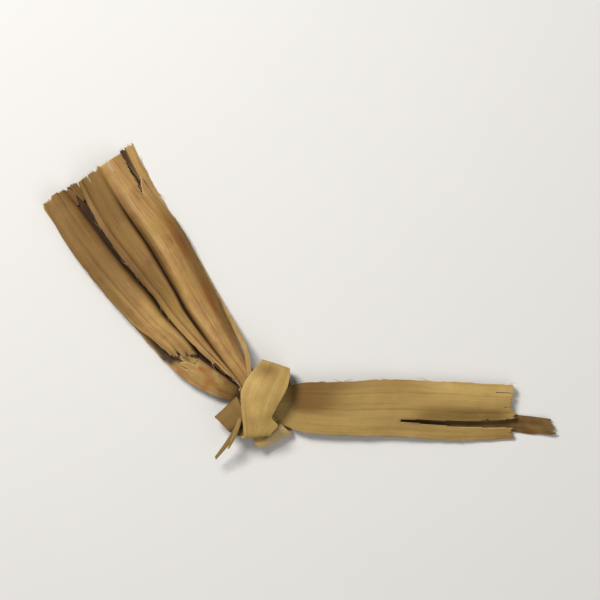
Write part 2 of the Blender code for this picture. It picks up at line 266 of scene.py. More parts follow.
# (shade, yellow, rust, crease) of the small strips
# The inner vein's tones are full shade: its dark paint is painted shade of the gap between the
# fan's two ribbons as well as the vein's brown.
SPLINTER_TONES, VEIN_TONES, WEB_TONES = (0.5, 0.7, 0, 0), (1, 0, 0.35, 0), (0.8, 0, 0.35, 0.1)

# ---- smooth helpers


def noise(u, v, seed):
    """Smooth noise from -1 to 1, the same on every run."""
    lattice = np.random.default_rng(seed).uniform(-1, 1, (LATTICE, LATTICE))
    u, v = np.broadcast_arrays(u, v)
    low_u, low_v = np.floor(u).astype(int), np.floor(v).astype(int)
    ease_u, ease_v = u - low_u, v - low_v
    ease_u = ease_u**2 * (3 - 2 * ease_u)
    ease_v = ease_v**2 * (3 - 2 * ease_v)

    def corner(step_u, step_v):
        return lattice[(low_u + step_u) % LATTICE, (low_v + step_v) % LATTICE]

    near = corner(0, 0) * (1 - ease_v) + corner(0, 1) * ease_v
    far = corner(1, 0) * (1 - ease_v) + corner(1, 1) * ease_v
    return near * (1 - ease_u) + far * ease_u


def ramp(value, start, end):
    """0 before start, 1 after end, and a smooth rise between."""
    share = np.clip((value - start) / (end - start), 0, 1)
    return share**2 * (3 - 2 * share)


def window(value, start, full, fading, gone):
    """1 from full to fading, 0 before start and after gone, smooth between."""
    return ramp(value, start, full) * (1 - ramp(value, fading, gone))


def bump(value, middle, width):
    """1 at the middle, falling away on both sides."""
    return np.exp(-(((value - middle) / width) ** 2))


def wave(u, seed):
    """Smooth noise from -1 to 1 along one line."""
    return noise(u, 0.0, seed)


# ---- the swept sheets


def station_table(stations):
    """The stations as rows of equal length."""
    return np.array([(*row, *(0,) * (COLUMNS - len(row))) for row in stations], float)


def station_values(table, places):
    """The stations' values at fractional places along their table, on a Catmull-Rom curve."""
    last = len(table) - 1
    here = np.minimum(places.astype(int), last - 1)
    share = (places - here)[:, None]
    before, start = table[np.maximum(here - 1, 0)], table[here]
    end, after = table[here + 1], table[np.minimum(here + 2, last)]
    slope_in, slope_out = (end - before) / 2, (after - start) / 2
    square, cube = share**2, share**3
    return (
        (2 * cube - 3 * square + 1) * start
        + (cube - 2 * square + share) * slope_in
        + (3 * square - 2 * cube) * end
        + (cube - square) * slope_out
    )


def even_places(table, step):
    """(places, lengths): places about step apart, and how far along the ribbon each one is."""
    fine = np.linspace(0, len(table) - 1, FINE_PLACES)
    middle = station_values(table, fine)[:, :3]
    length = np.concatenate([[0], np.cumsum(np.linalg.norm(np.diff(middle, axis=0), axis=1))])
    count = int(length[-1] / step)
    lengths = np.linspace(0, length[-1], count + 1)
    return np.interp(lengths, length, fine), lengths


class Sheet:
    """A ribbon's grid of points: one row per place, one column per share of its width.

    kept says which faces are not torn away. The grid of marks and shade holds (shade, yellow,
    rust): shade is painted shade together with darker tones of the leaf, yellow and rust are its
    own colour. crease holds painted shade in folds, gaps and under edges, and the tip's own dark
    brown, each from 0 to 1. pale is added to how torn-edged and pale a point looks; on the wide
    ribbon it also paints highlights.
    """

    def __init__(self, stations, columns, section, wall, step=ROW_STEP):
        table = station_table(stations)
        self.wall = wall
        self.places, self.lengths = even_places(table, step)
        self.shares = np.linspace(-1, 1, columns + 1)[None, :]
        self.along = self.lengths[:, None]
        self.place = self.places[:, None]
        self.values = station_values(table, self.places)
        ahead = np.minimum(self.places + AHEAD, len(table) - 1)
        back = np.maximum(self.places - AHEAD, 0)
        forward = station_values(table, ahead)[:, :3] - station_values(table, back)[:, :3]
        angle = np.radians(self.values[:, ACROSS])
        self.width = np.stack([np.cos(angle), np.sin(angle), np.zeros_like(angle)], axis=1)
        self.forward = forward / np.linalg.norm(forward, axis=1, keepdims=True)
        outward = np.cross(self.forward, self.width)
        outward /= np.linalg.norm(outward, axis=1, keepdims=True)
        sideways, rise = section(self)
        spots = self.values[:, None, :3] + self.width[:, None] * sideways[..., None]
        self.points = spots + outward[:, None] * rise[..., None]
        self.rest_on_floor()
        down, right = np.gradient(self.points, axis=0), np.gradient(self.points, axis=1)
        normals = np.cross(down, right)
        self.normals = normals / np.linalg.norm(normals, axis=2, keepdims=True)
        rows, self.columns = self.points.shape[:2]
        self.kept = np.ones((rows - 1, self.columns - 1), bool)
        self.stains = np.zeros((rows, self.columns, 3))
        self.crease = np.zeros((rows, self.columns))
        self.pale = 0.0

    def column(self, field):
        return self.values[:, field][:, None]

    def noise(self, length, lanes, seed):
        """Noise in patches of about this length, with so many lanes to half the width."""
        return noise(self.along / length, self.shares * lanes, seed)

    def edge_noise(self, length, apart, seed):
        """Noise along the two sides, which differs between them."""
        return noise(self.along / length, np.sign(self.shares) * apart, seed)

    def rest_on_floor(self):
        """Lowers what lies near the floor by the difference in wall, but never into the floor."""
        height = self.points[..., 2]
        drop = CAD_LOWEST - self.wall / 2
        height = height - drop * np.clip(PRESSED_BELOW - height, 0, 1)
        self.points[..., 2] = np.maximum(height, self.wall / 2)

    # Writes the tones: shade and crease carry painted shade besides darker tones of the leaf,
    # yellow and rust are its own colour.
    def stain(self, shade, yellow, rust, crease):
        for number, tone in enumerate((shade, yellow, rust)):
            self.stains[..., number] = np.clip(tone, 0, 1)
        self.crease[:] = np.clip(crease, 0, 1)

    def face_grid(self):
        """(distance along, place, share) at the middle of every face."""
        along = (self.along[1:] + self.along[:-1]) / 2
        place = (self.place[1:] + self.place[:-1]) / 2
        return along, place, (self.shares[:, 1:] + self.shares[:, :-1]) / 2

    def tear(self, kept):
        """Keeps these faces only, and none that would touch another at one corner alone."""
        kept = kept & self.kept
        while True:
            first, second = kept[:-1, :-1], kept[:-1, 1:]
            third, fourth = kept[1:, :-1], kept[1:, 1:]
            falling = first & fourth & ~second & ~third
            rising = second & third & ~first & ~fourth
            if not (falling.any() or rising.any()):
                break
            kept[:-1, :-1][falling] = False
            kept[:-1, 1:][rising] = False
        self.kept = kept

    def grids(self):
        """Every value that a point of the leaf carries, by name."""
        shape = self.crease.shape
        across = np.broadcast_to(self.shares * MAP_HALF, shape)
        along = np.broadcast_to(self.along, shape)
        faces = np.zeros(shape)
        for down, right in ((0, 0), (0, 1), (1, 0), (1, 1)):
            faces[down : shape[0] - 1 + down, right : shape[1] - 1 + right] += self.kept
        return {
            "grain": np.stack([along, across, np.zeros(shape)], axis=-1),
            "stains": self.stains,
            "crease": self.crease[..., None],
            # torn edges are pale by their own colour; pale adds painted highlights to the same
            # value
            "raw": np.clip((4 - faces) / 2 + self.pale, 0, 1)[..., None],
        }

    def pick(self, grid, places, shares):
        """A grid's values at these places and shares, blended from the points around."""
        row = np.interp(places, self.places, np.arange(len(self.places)))
        column = (np.clip(shares, -1, 1) + 1) / 2 * (self.columns - 1)
        low_row = np.minimum(row.astype(int), len(self.places) - 2)
        low_column = np.minimum(column.astype(int), self.columns - 2)
        down, right = (row - low_row)[:, None], (column - low_column)[:, None]
        upper = grid[low_row, low_column] * (1 - right) + grid[low_row, low_column + 1] * right
        lower = grid[low_row + 1, low_column] * (1 - right)
        lower = lower + grid[low_row + 1, low_column + 1] * right
        return upper * (1 - down) + lower * down


def add_layer(mesh, name, values):
    """A point attribute: a vector where the values have three columns, else a number."""
    vector = values.shape[1] == 3
    layer = mesh.attributes.new(name, "FLOAT_VECTOR" if vector else "FLOAT", "POINT")
    layer.data.foreach_set("vector" if vector else "value", values.astype(np.float32).ravel())


def linked(name, data):
    """A new object in the scene."""
    made = bpy.data.objects.new(name, data)
    bpy.context.scene.collection.objects.link(made)
    return made


def placed(name, mesh):
    """A new object for a mesh whose place is already in its points, riding on the root."""
    made = linked(name, mesh)
    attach(made, ROOT)
    return made


def leaf_object(name, sheets, material):
    """One or more sheets as one walled piece with its grain, its rust and yellow marks, painted
    shade and highlights, and pale torn edges.
    """
    spots, faces, layers, start = [], [], {}, 0
    for sheet in sheets:
        rows = len(sheet.places)
        index = np.arange(rows * sheet.columns).reshape(rows, sheet.columns)
        near, far = index[:-1], index[1:]
        quads = np.stack([near[:, :-1], far[:, :-1], far[:, 1:], near[:, 1:]], axis=-1)
        used, quads = np.unique(quads[sheet.kept], return_inverse=True)
        spots.append(sheet.points.reshape(-1, 3)[used])
        faces.append(quads.reshape(-1, 4) + start)
        start += len(used)
        for label, grid in sheet.grids().items():
            layers.setdefault(label, []).append(grid.reshape(rows * sheet.columns, -1)[used])
    mesh = bpy.data.meshes.new(name)
    points = (np.concatenate(spots) + KNOT) * MM
    mesh.from_pydata(points.tolist(), [], np.concatenate(faces).tolist())
    for label, values in layers.items():
        add_layer(mesh, label, np.concatenate(values))
    mesh.materials.append(material)
    mesh.shade_smooth()
    made = placed(name, mesh)
    skin = made.modifiers.new("wall", "SOLIDIFY")
    skin.thickness = sheets[0].wall * MM
    skin.offset = 0
    return made


# ---- sections of the ribbons


def vein_relief(sheet, height, seed):
    """The low ridges of the veins, which run the whole length and gather in the knot."""
    across = sheet.shares * MAP_HALF
    drift = 0.25 * wave(sheet.along / 22, seed)
    ridges = noise((across + drift) * 1.9, sheet.along / 40, seed + 1)
    fine = noise((across + drift) * 4.3, sheet.along / 18, seed + 2)
    return height * (ridges + 0.5 * fine)


def cockle(sheet, height, seed):
    """The slow unevenness of a sheet that dried without being held flat."""
    return height * (
        noise(sheet.along / 7.5, sheet.shares * 1.6 + 9, seed)
        + 0.45 * noise(sheet.along / 2.9, sheet.shares * 3.1 + 5, seed + 1)
    )


def pleat_shape(share, place):
    """1 along the bottom of the wide ribbon's pleat: steep on its left, an easy flank right."""
    middle = PLEAT_PLACE + PLEAT_DRIFT * place
    open_end = 1 + 0.9 * (1 - ramp(place, 0, 1.8))
    width = np.where(share < middle, PLEAT_BANK, PLEAT_FLANK) * open_end
    return bump(share, middle, width)


def wide_section(sheet):
    share, place = sheet.shares, sheet.place
    fan = 1 - ramp(place, 5.5, 8.0)
    tail = ramp(place, 40.5, 42.5)
    wrap = window(place, 20.5, 22.5, 27.5, 29.0)
    groove = 0.4 * bump(share, -0.84 + 0.02 * place, 0.055)
    lip = 0.3 * bump(share, -1.0, 0.09)
    crease = 0.16 * bump(share, 0.42 - 0.03 * place, 0.05) + 0.12 * bump(share, 0.7, 0.05)
    tail_fold = 0.22 * bump(share, 0.52, 0.06) + 0.16 * bump(share, -0.05, 0.05)
    wrap_fold = 0.09 * bump(share, 0.3, 0.09) + 0.06 * bump(share, -0.45, 0.08)
    tongue = (place > TAIL_SLIT_FROM) & (share < SLIT_PLACE)
    drop = TONGUE_DROP * ramp(place, TAIL_SLIT_FROM, TAIL_SLIT_FROM + 1.3)
    loose = 0.25 + 0.75 * np.maximum(fan, tail)
    edge = np.abs(share) ** 6
    rise = (
        sheet.column(ARCH) * (1 - share**2)
        + sheet.column(LEAN) * share
        - sheet.column(PLEAT) * pleat_shape(share, place)
        + fan * (lip - groove - crease)
        - tail * tail_fold
        - wrap * wrap_fold
        - np.where(tongue, drop, 0)
        + cockle(sheet, 0.1, 11) * loose
        + vein_relief(sheet, 0.03, 21)
        + 0.22 * loose * edge * sheet.edge_noise(4.2, 7, 31)
    )
    ragged = 1 + 0.018 * sheet.noise(5.0, 2, 41) + 0.012 * edge * sheet.edge_noise(1.1, 3, 42)
    return sheet.column(HALF) * share * ragged, rise


def side_section(sheet):
    """Folded double: the upper flap has shares below 0, the lower flap above 0."""
    share, place = sheet.shares, sheet.place
    reach = np.abs(share)
    upper = share < 0
    fan = 1 - ramp(place, 6.0, 8.0)
    opening = np.sqrt(1 - np.clip(1 - reach / FOLD_ROUND, 0, 1) ** 2)
    dent = 0.22 * bump(share, -0.62, 0.07) + 0.14 * bump(share, -0.3, 0.05)
    curl = 0.7 * ramp(place, UPPER_FLAP_ENDS - 0.8, UPPER_FLAP_ENDS) * ramp(reach, 0.5, 1.0)
    rise = (
        -np.sign(share) * sheet.column(PLEAT) / 2 * opening
        + np.where(upper, sheet.column(ARCH) * np.sin(math.pi * reach), 0)
        - np.where(upper, fan * dent, 0)
        + np.where(upper, curl, 0)
        + cockle(sheet, 0.09, 51) * (0.35 + 0.65 * fan)
        + vein_relief(sheet, 0.028, 61)
    )
    edge = ramp(reach, 0.75, 1.0)
    sideways = (
        sheet.column(HALF) * (1 - 2 * reach)
        - np.where(upper, 0, sheet.column(LEAN) * reach)
        + 0.1 * edge * sheet.edge_noise(1.3, 3, 71)
        + 0.16 * edge * sheet.edge_noise(6.0, 5, 72)
    )
    return sideways, rise


def strand_section(sheet):
    share = sheet.shares
    rise = sheet.column(ARCH) * (1 - share**2) + vein_relief(sheet, 0.03, 81)
    return sheet.column(HALF) * share * (1 + 0.1 * sheet.noise(1.6, 1.5, 82)), rise


# ---- where faces are torn away


def cut_end(distance, share, depth, seed):
    """True where a cut end keeps its faces: distance is how far a face is from the end."""
    notch = depth * (0.5 + 0.5 * wave(share * 5.5 + 20, seed))
    fray = 0.35 * depth * (0.5 + 0.5 * wave(share * 19.0 + 40, seed + 1))
    return distance > notch + fray


def split(distance, share, where, length):
    """True inside one short split that runs in from an end along a vein."""
    wide = 0.012 + 0.022 * np.clip(1 - distance / length, 0, 1)
    return (np.abs(share - where) < wide) & (distance < length)


def tear_wide(sheet):
    along, place, share = sheet.face_grid()
    left = sheet.lengths[-1] - along
    kept = cut_end(along, share, 0.5, 5) & cut_end(left, share, 1.2, 6)
    for distance, where, length in (
        (along, 0.36, 2.6),
        (along, -0.55, 1.8),
        (left, 0.18, 2.6),
        (left, 0.7, 4.5),
    ):
        kept &= ~split(distance, share, where, length)
    opened = np.clip(place - TAIL_SLIT_FROM, 0, 3)
    gap = 0.045 + 0.065 * opened * (1 + 0.35 * wave(along / 2.0, 7))
    kept &= ~((np.abs(share - SLIT_PLACE) < gap) & (place > TAIL_SLIT_FROM))
    cleft = 0.03 + 0.27 * np.clip(place / CLEFT_ENDS, 0, 1) + 0.012 * wave(along / 1.3, 9)
    closing = 0.3 * ramp(place, CLEFT_ENDS - 0.45, CLEFT_ENDS)
    kept &= ~((share > 1 - cleft) & (share < 1.02 - closing) & (place < CLEFT_ENDS))
    lip = share < -0.82 + 0.07 * wave(along / 2.4, 8)
    sheet.tear(kept & ~(lip & (place > LIP_ENDS) & (place < LIP_RETURNS)))


def tear_side(sheet):
    along, place, share = sheet.face_grid()
    kept = cut_end(along, share, 0.5, 15) & cut_end(sheet.lengths[-1] - along, share, 1.2, 16)
    reach = np.abs(share)
    teeth = 0.12 * (0.5 + 0.5 * wave(reach * 8.0, 18))
    teeth = teeth + 0.1 * (0.5 + 0.5 * wave(reach * 21.0, 19))
    notch = 0.26 * bump(reach, 0.66, 0.05) + 0.16 * bump(reach, 0.36, 0.035)
    ends = UPPER_FLAP_ENDS + 0.15 - FLAP_SLANT * reach - teeth - notch
    sheet.tear(kept & ((share > 0) | (place < ends)))


def tear_strip(sheet):
    """Both ends of a narrow strip are frayed."""
    along, _, share = sheet.face_grid()
    left = sheet.lengths[-1] - along
    sheet.tear(cut_end(along, share * 0.5, 0.5, 25) & cut_end(left, share * 0.5, 0.4, 26))


# ---- marks, painted shade and painted highlights along the ribbons


def stain_and_shade_wide(sheet):
    share, place = sheet.shares, sheet.place
    middle = PLEAT_PLACE + PLEAT_DRIFT * place
    patches = 0.5 + 0.5 * sheet.noise(9.0, 2.2, 91)
    fan, tail = 1 - ramp(place, 6.5, 8.5), ramp(place, 39.0, 41.0)

    # Painted shade: flank and far_side shade the pleat's steep side next to its valley and its far
    # right side, as a lit arch is shaded; left darkens the fan left of the pleat near the cut end,
    # and the other terms darken or lighten patches of the wrap and the tail.
    left = (1 - ramp(share, middle - 0.1, middle + 0.05)) * (1 - ramp(place, 2.2, 5.0))
    flank = bump(share, middle + 0.06, 0.08) * ramp(place, 0.4, 1.8)
    far_side = ramp(share, 0.45, 0.85) * ramp(place, 0.8, 2.2) * (1 - 0.4 * ramp(place, 4.5, 6.5))
    wrap_top = bump(place, 21.7, 0.95) * bump(share, -0.3, 0.8)
    wrap_foot = window(place, 25.2, 26.2, 28.6, 29.0)
    left_ear = window(place, 29.2, 30.5, 37.0, 38.5)
    brown = bump(place, 41.15, 0.75) * ramp(share, -0.5, 0.2)
    slit_side = bump(share, SLIT_PLACE + 0.3, 0.24) * ramp(place, 42.6, 43.4)
    tail_top = ramp(place, 43.0, 43.8) * ramp(share, 0.15, 0.6)
    shade = (
        fan * (0.45 * left + 0.26 * patches + 0.06)
        + fan * (0.75 * flank + 0.7 * far_side)
        + 0.72 * wrap_top
        + 0.22 * wrap_foot
        + 0.8 * left_ear
        + tail * (0.42 + 0.3 * patches * ramp(share, 0.0, 0.7))
        + 0.75 * brown
        + 0.6 * slit_side * ramp(patches, 0.25, 0.7)
        - 0.3 * tail_top
    )
    yellow = ramp(place, 8.0, 10.0) * (0.78 + 0.22 * sheet.noise(11, 2, 92))

    side = bump(share, 0.74, 0.15) * window(place, 0.9, 1.8, 4.5, 6.5)
    blotch = ramp(sheet.noise(4.2, 3.2, 93), -0.25, 0.6)
    faint = ramp(sheet.noise(6.0, 5, 94), 0.1, 0.9)
    rust = side * (0.3 + 0.7 * blotch) + 0.28 * fan * faint + 0.55 * brown

    # Painted shade: near-black lines in the pleat's valley, the lip's groove, a fold near the cut
    # end and the slit, and dark bands where the ribbon runs under other layers and along the
    # wrap's lower edge.
    narrow = 0.05 + 0.045 * ramp(place, 2.0, 5.5)
    valley = bump(share, middle - 0.02, narrow) * ramp(place, 0.2, 1.5)
    crease = (
        1.6 * fan * valley * (1 - 0.72 * ramp(place, 3.6, 5.6))
        + 0.35 * fan * bump(share, -0.84 + 0.02 * place, 0.035)
        + 0.25 * bump(share, 0.03 + 0.1 * place, 0.03) * bump(place, 1.0, 1.2)
        + 1.1 * bump(share, SLIT_PLACE, 0.07) * ramp(place, 42.9, 43.25)
        + 0.75 * bump(place, 31.9, 0.4)
        + 0.75 * bump(place, 7.9, 0.45)
        + 0.8 * bump(place, 11.65, 0.25) * ramp(share, -0.7, -0.1)
    )
    # Painted highlights: pale paint along the pleat's ridge and over the lobe under the wrap, in
    # the torn edges' pale colour.
    ridge = bump(share, middle + 0.3, 0.13) * fan * (1 - 0.6 * ramp(place, 1.5, 4.0))
    sheet.pale = 1.6 * bump(place, 13.0, 1.1) + 0.55 * ridge
    sheet.stain(shade, yellow, rust, crease)


def stain_and_shade_side(sheet):
    share, place = sheet.shares, sheet.place
    upper = np.broadcast_to(share < 0, sheet.crease.shape)
    lower = np.broadcast_to(share > 0, sheet.crease.shape)
    patches = 0.5 + 0.5 * sheet.noise(8.0, 2.4, 101)
    tip = ramp(place, 16.6, 17.6)
    mottled = ramp(place, 4.8, 6.0)

    # Painted light: the upper flap is shaded except for a bright band along its middle, a painted
    # highlight; the lower flap gets painted shade as it runs in under the knot. The tip's brown is
    # its own colour.
    streaked = place + 0.5 * sheet.noise(14.0, 9, 102)
    bright = ramp(streaked, 1.9, 4.3) * (1 - 0.75 * ramp(streaked, 4.8, 6.0))
    upper_shade = 0.62 * (1 - bright) + 0.2 * patches
    shade = np.where(upper, upper_shade, 0.4 + 0.5 * ramp(place, 7.6, 8.8))
    shade = np.where(tip > 0, np.maximum(shade, tip * 0.9), shade)
    flame = mottled * (1 - ramp(place, 7.6, 9.2))
    rust = np.where(upper, 0.22 * patches, 0.16 + 0.34 * flame)
    rust = rust * (0.75 + 1.5 * sheet.noise(1.5, 6, 103)) + 0.25 * tip
    gold = ramp(sheet.noise(1.5, 6, 105), -0.5, 0.4)
    yellow = np.where(upper, 0.15, 0.2 + 0.7 * mottled * gold)

    # Painted shade: a dark line along the fold beside the gap, a shadow on the lower flap under
    # the torn flap's end and in the hollow beside the wide ribbon, a line in the flap's dent, and
    # a dark band where the ribbon goes under the knot. The tip's darkening is its own brown.
    brink = bump(np.abs(share), 0.02, 0.075) * window(place, 0.9, 1.8, 8.8, 9.4)
    below_tear = bump(place, UPPER_FLAP_ENDS - 0.05 - FLAP_SLANT * share, 0.16)
    cavity = window(place, 3.8, 4.6, 5.35, 5.6) * window(share, 0.4, 0.55, 0.9, 1.0)
    crease = (
        0.45 * tip * (0.6 + 0.4 * sheet.noise(1.2, 3, 104))
        + 0.45 * upper * bump(share, -0.66, 0.03) * bump(place, 5.2, 0.7)
        + brink * (0.85 + 0.25 * ramp(place, 5.5, 6.5))
        + 0.9 * lower * np.maximum(below_tear, cavity)
        + 0.8 * bump(place, 9.35, 0.35)
    )
    sheet.pale = -0.9 * (1 - ramp(np.abs(share), 0.05, 0.25)) * ramp(place, 5.5, 6.2)
    sheet.stain(shade, yellow, rust, crease)


def stain_and_shade_strand(sheet):
    share, place = sheet.shares, sheet.place
    patches = 0.5 + 0.5 * sheet.noise(6.0, 1, 111)
    shade = 0.3 * patches + 0.55 * ramp(place, 9.0, 10.0)
    yellow = 0.3 + 0.65 * ramp(place, 9.5, 11.0)
    # Painted shade: the strand's side that shows in the cleft under the wide ribbon is painted
    # dark.
    hidden = ramp(-share, 0.05, 0.3) * (1 - ramp(place, 1.6, 2.2))
    sheet.pale = -0.75 * ramp(place, 8.0, 9.0) - hidden
    sheet.stain(shade, yellow, 0.1 * patches, 0.92 * hidden)


# ---- materials


class Term:
    """One socket of a material, so that shader sums are written as plain expressions."""

    def __init__(self, paint, socket):
        self.paint = paint
        self.socket = socket

    def sum(self, operation, *others):
        return self.paint.node("ShaderNodeMath", {"operation": operation}, self, *others)

    def __add__(self, other):
        return self.sum("ADD", other)

    def __mul__(self, other):
        return self.sum("MULTIPLY", other)

    def __rsub__(self, other):
        return self.paint.node("ShaderNodeMath", {"operation": "SUBTRACT"}, other, self)

    def rise(self, start, end):
        """0 below start, 1 above end, smooth between."""
        settings = {"interpolation_type": "SMOOTHSTEP"}
        return self.paint.node("ShaderNodeMapRange", settings, self, start, end)

    __radd__ = __add__


class Paint:
    """A new material and what is needed to write its nodes."""

    def __init__(self, name):
        self.material = bpy.data.materials.new(name)
        self.material.use_nodes = True
        self.tree = self.material.node_tree
        self.shader = self.tree.nodes["Principled BSDF"]

    def node(self, kind, settings, *values, out=0, **named):
        """A node's output, after its settings and then its sockets, in order or by name."""
        made = self.tree.nodes.new(kind)
        for key, value in settings.items():
            setattr(made, key, value)
        for key, value in (*enumerate(values), *named.items()):
            self.put(made.inputs[key], value)
        return Term(self, made.outputs[out])

    def put(self, socket, value):
        if isinstance(value, Term):
            self.tree.links.new(value.socket, socket)
        elif value is not None:
            socket.default_value = value

    def attribute(self, name, out="Vector"):
        return self.node("ShaderNodeAttribute", {"attribute_name": name}, out=out)

    def parts(self, vector):
        made = self.tree.nodes.new("ShaderNodeSeparateXYZ")
        self.put(made.inputs[0], vector)
        return [Term(self, socket) for socket in made.outputs]

    def noise(self, vector, scale, detail=2.0, roughness=0.5):
        """Noise from 0 to 1 at a vector."""
        named = {"Vector": vector, "Scale": scale, "Detail": detail, "Roughness": roughness}
        return self.node("ShaderNodeTexNoise", {}, out="Fac", **named)

    def mix(self, share, first, second, how="MIX"):
        """The first colour where share is 0, the second where it is 1."""
        settings = {"data_type": "RGBA", "blend_type": how, "clamp_factor": True}
        both = [value if isinstance(value, Term) else (*value, 1) for value in (first, second)]
        unused = [None] * 5  # the sockets for numbers and vectors
        return self.node("ShaderNodeMix", settings, share, *unused, *both, out=2)

    def finish(self, colour, rough, height, strength, distance):
        """Joins the colour, the roughness and the surface relief to the shader."""
        self.put(self.shader.inputs["Base Color"], colour)
        self.put(self.shader.inputs["Roughness"], rough)
        relief = {"Strength": strength, "Distance": distance, "Height": height}
        relief = self.node("ShaderNodeBump", {}, **relief)
        self.put(self.shader.inputs["Normal"], relief)


def leaf_material(name, settings, seed=0.0):
    """Dried leaf: long streaks along the veins, mottling, specks, rust and yellow marks, painted
    shade, and pale torn edges that also carry painted highlights.
    """
    paint = Paint(name)
    along, across, _ = paint.parts(paint.attribute("grain"))
    shade, yellow, rust = paint.parts(paint.attribute("stains"))
    crease = paint.attribute("crease", "Fac")
    raw = paint.attribute("raw", "Fac")

    def streaks(slow, quick, detail, roughness):
        spot = paint.node("ShaderNodeCombineXYZ", {}, along * slow, across * quick, seed)
        return paint.noise(spot, 1.0, detail, roughness)

    broad = streaks(0.04, 0.6, 5.0, 0.6)
    narrow = streaks(0.08, 2.4, 5.0, 0.6)
    hair = streaks(0.3, 7.5, 3.0, 0.6)
    place = paint.node("ShaderNodeTexCoord", {}, out=3)
    cloud = paint.noise(place, 95.0, 4.0, 0.55)
    mottle = paint.noise(place, 330.0, 5.0, 0.62)
    speck = paint.noise(place, 1500.0, 2.0, 0.5)

    light = broad * 0.4 + narrow * 0.4 + hair * 0.2 + mottle * 0.3 + cloud * 0.35
    colour = paint.mix(light.rise(0.6, 1.06), settings.deep_tan, settings.pale_tan)
    colour = paint.mix(cloud.rise(0.5, 0.66) * 0.55, colour, settings.olive)
    straw = paint.mix(light.rise(0.58, 1.04), settings.deep_straw, settings.straw)
    colour = paint.mix(yellow * (0.75 + mottle * 0.5), colour, straw)
    stain = rust * (0.3 + narrow * 0.6 + mottle * 0.5)
    colour = paint.mix(stain.rise(0.1, 0.95), colour, settings.rust)
    # Painted shade, with some darker tones of the leaf: the shade grid multiplies the colour down.
    dark = shade * (0.6 + narrow * 0.45 + mottle * 0.35)
    shaded = paint.mix(1.0, colour, settings.shade, "MULTIPLY")
    colour = paint.mix(dark.rise(0.0, 1.0), colour, shaded)
    lines = narrow.rise(0.63, 0.76) * 0.45 + hair.rise(0.66, 0.8) * 0.22
    colour = paint.mix(lines * (1.0 - yellow * 0.55), colour, settings.umber)
    spots = speck.rise(0.68, 0.76) * mottle.rise(0.45, 0.6)
    colour = paint.mix(spots * 0.75, colour, settings.umber)
    # Pale torn edges, and the painted highlights laid on through the same value.
    edge = raw * (0.35 + hair * 0.6)
    colour = paint.mix(edge.rise(0.15, 1.0) * 0.8, colour, settings.raw_edge)
    # Painted shade: crease mixes in near-black in folds, gaps and under edges.
    colour = paint.mix(crease, colour, settings.crease)

    rough = 0.5 + mottle * 0.24 + hair * 0.1
    height = narrow * 0.55 + hair * 0.55 + mottle * 0.3
    paint.finish(colour, rough, height, 0.55, 0.0002)
    paint.shader.inputs["Specular IOR Level"].default_value = 0.25
    return paint.material


def plain_material(name, colour, rough):
    paint = Paint(name)
    place = paint.node("ShaderNodeTexCoord", {}, out=3)
    grain = paint.noise(place, 60.0, 3.0, 0.5)
    colour = paint.mix(grain, tuple(c * 0.985 for c in colour), colour)
    paint.put(paint.shader.inputs["Base Color"], colour)
    paint.shader.inputs["Roughness"].default_value = rough
    return paint.material


# ---- veins and torn fibres


class Growth:
    """A Geometry Nodes tree being written, and the identifiers of its named inputs."""

    def __init__(self, name, inputs):
        self.tree = bpy.data.node_groups.new(name, "GeometryNodeTree")
        sockets = self.tree.interface
        sockets.new_socket(name="Geometry", in_out="OUTPUT", socket_type="NodeSocketGeometry")
        self.ids = {}
        for label, kind, default in (("Geometry", "NodeSocketGeometry", None), *inputs):
            made = sockets.new_socket(name=label, in_out="INPUT", socket_type=kind)
            if default is not None:
                made.default_value = default
            self.ids[label] = made.identifier
        self.group_in = self.tree.nodes.new("NodeGroupInput")

    def given(self, name):
        """The value of one of the tree's own inputs."""
        return self.group_in.outputs[name]

    def node(self, kind, settings, sockets, out=0):
        """A node's output, after its settings and then its sockets, by name or by place."""
        made = self.tree.nodes.new(kind)
        for key, value in settings.items():
            setattr(made, key, value)
        for key, value in sockets.items():
            if isinstance(value, bpy.types.NodeSocket):
                self.tree.links.new(value, made.inputs[key])
            else:
                made.inputs[key].default_value = value
        return made.outputs[out]

    def attribute(self, name, kind):
        """The named point attribute of the guide."""
        settings = {"data_type": kind}
        return self.node("GeometryNodeInputNamedAttribute", settings, {"Name": name})

    def wire(self, line, scale, radius, sides):
        """A closed wire along a curve, as thick as radius times scale."""
        ring = {"Resolution": sides, "Radius": radius}
        profile = self.node("GeometryNodeCurvePrimitiveCircle", {}, ring)
        sockets = {"Curve": line, "Profile Curve": profile, "Scale": scale, "Fill Caps": True}
        return self.node("GeometryNodeCurveToMesh", {}, sockets)

    def end(self, geometry):
        """Gives the geometry its material and hands it out."""
        real = self.node("GeometryNodeRealizeInstances", {}, {"Geometry": geometry})
        skin = {"Geometry": real, "Material": self.given("Material")}
        skin = self.node("GeometryNodeSetMaterial", {}, skin)
        out = self.tree.nodes.new("NodeGroupOutput")
        self.tree.links.new(skin, out.inputs[0])


def vein_growth():
    """Ridges: a tapering wire along every line of the guide."""
    grow = Growth(
        "vein_ridges",
        (
            ("Vein radius", "NodeSocketFloat", 0.00007),
            ("Sides", "NodeSocketInt", 5),
            ("Material", "NodeSocketMaterial", None),
        ),
    )
    line = grow.node("GeometryNodeMeshToCurve", {}, {"Mesh": grow.given("Geometry")})
    swell = grow.attribute("swell", "FLOAT")
    grow.end(grow.wire(line, swell, grow.given("Vein radius"), grow.given("Sides")))
    return grow


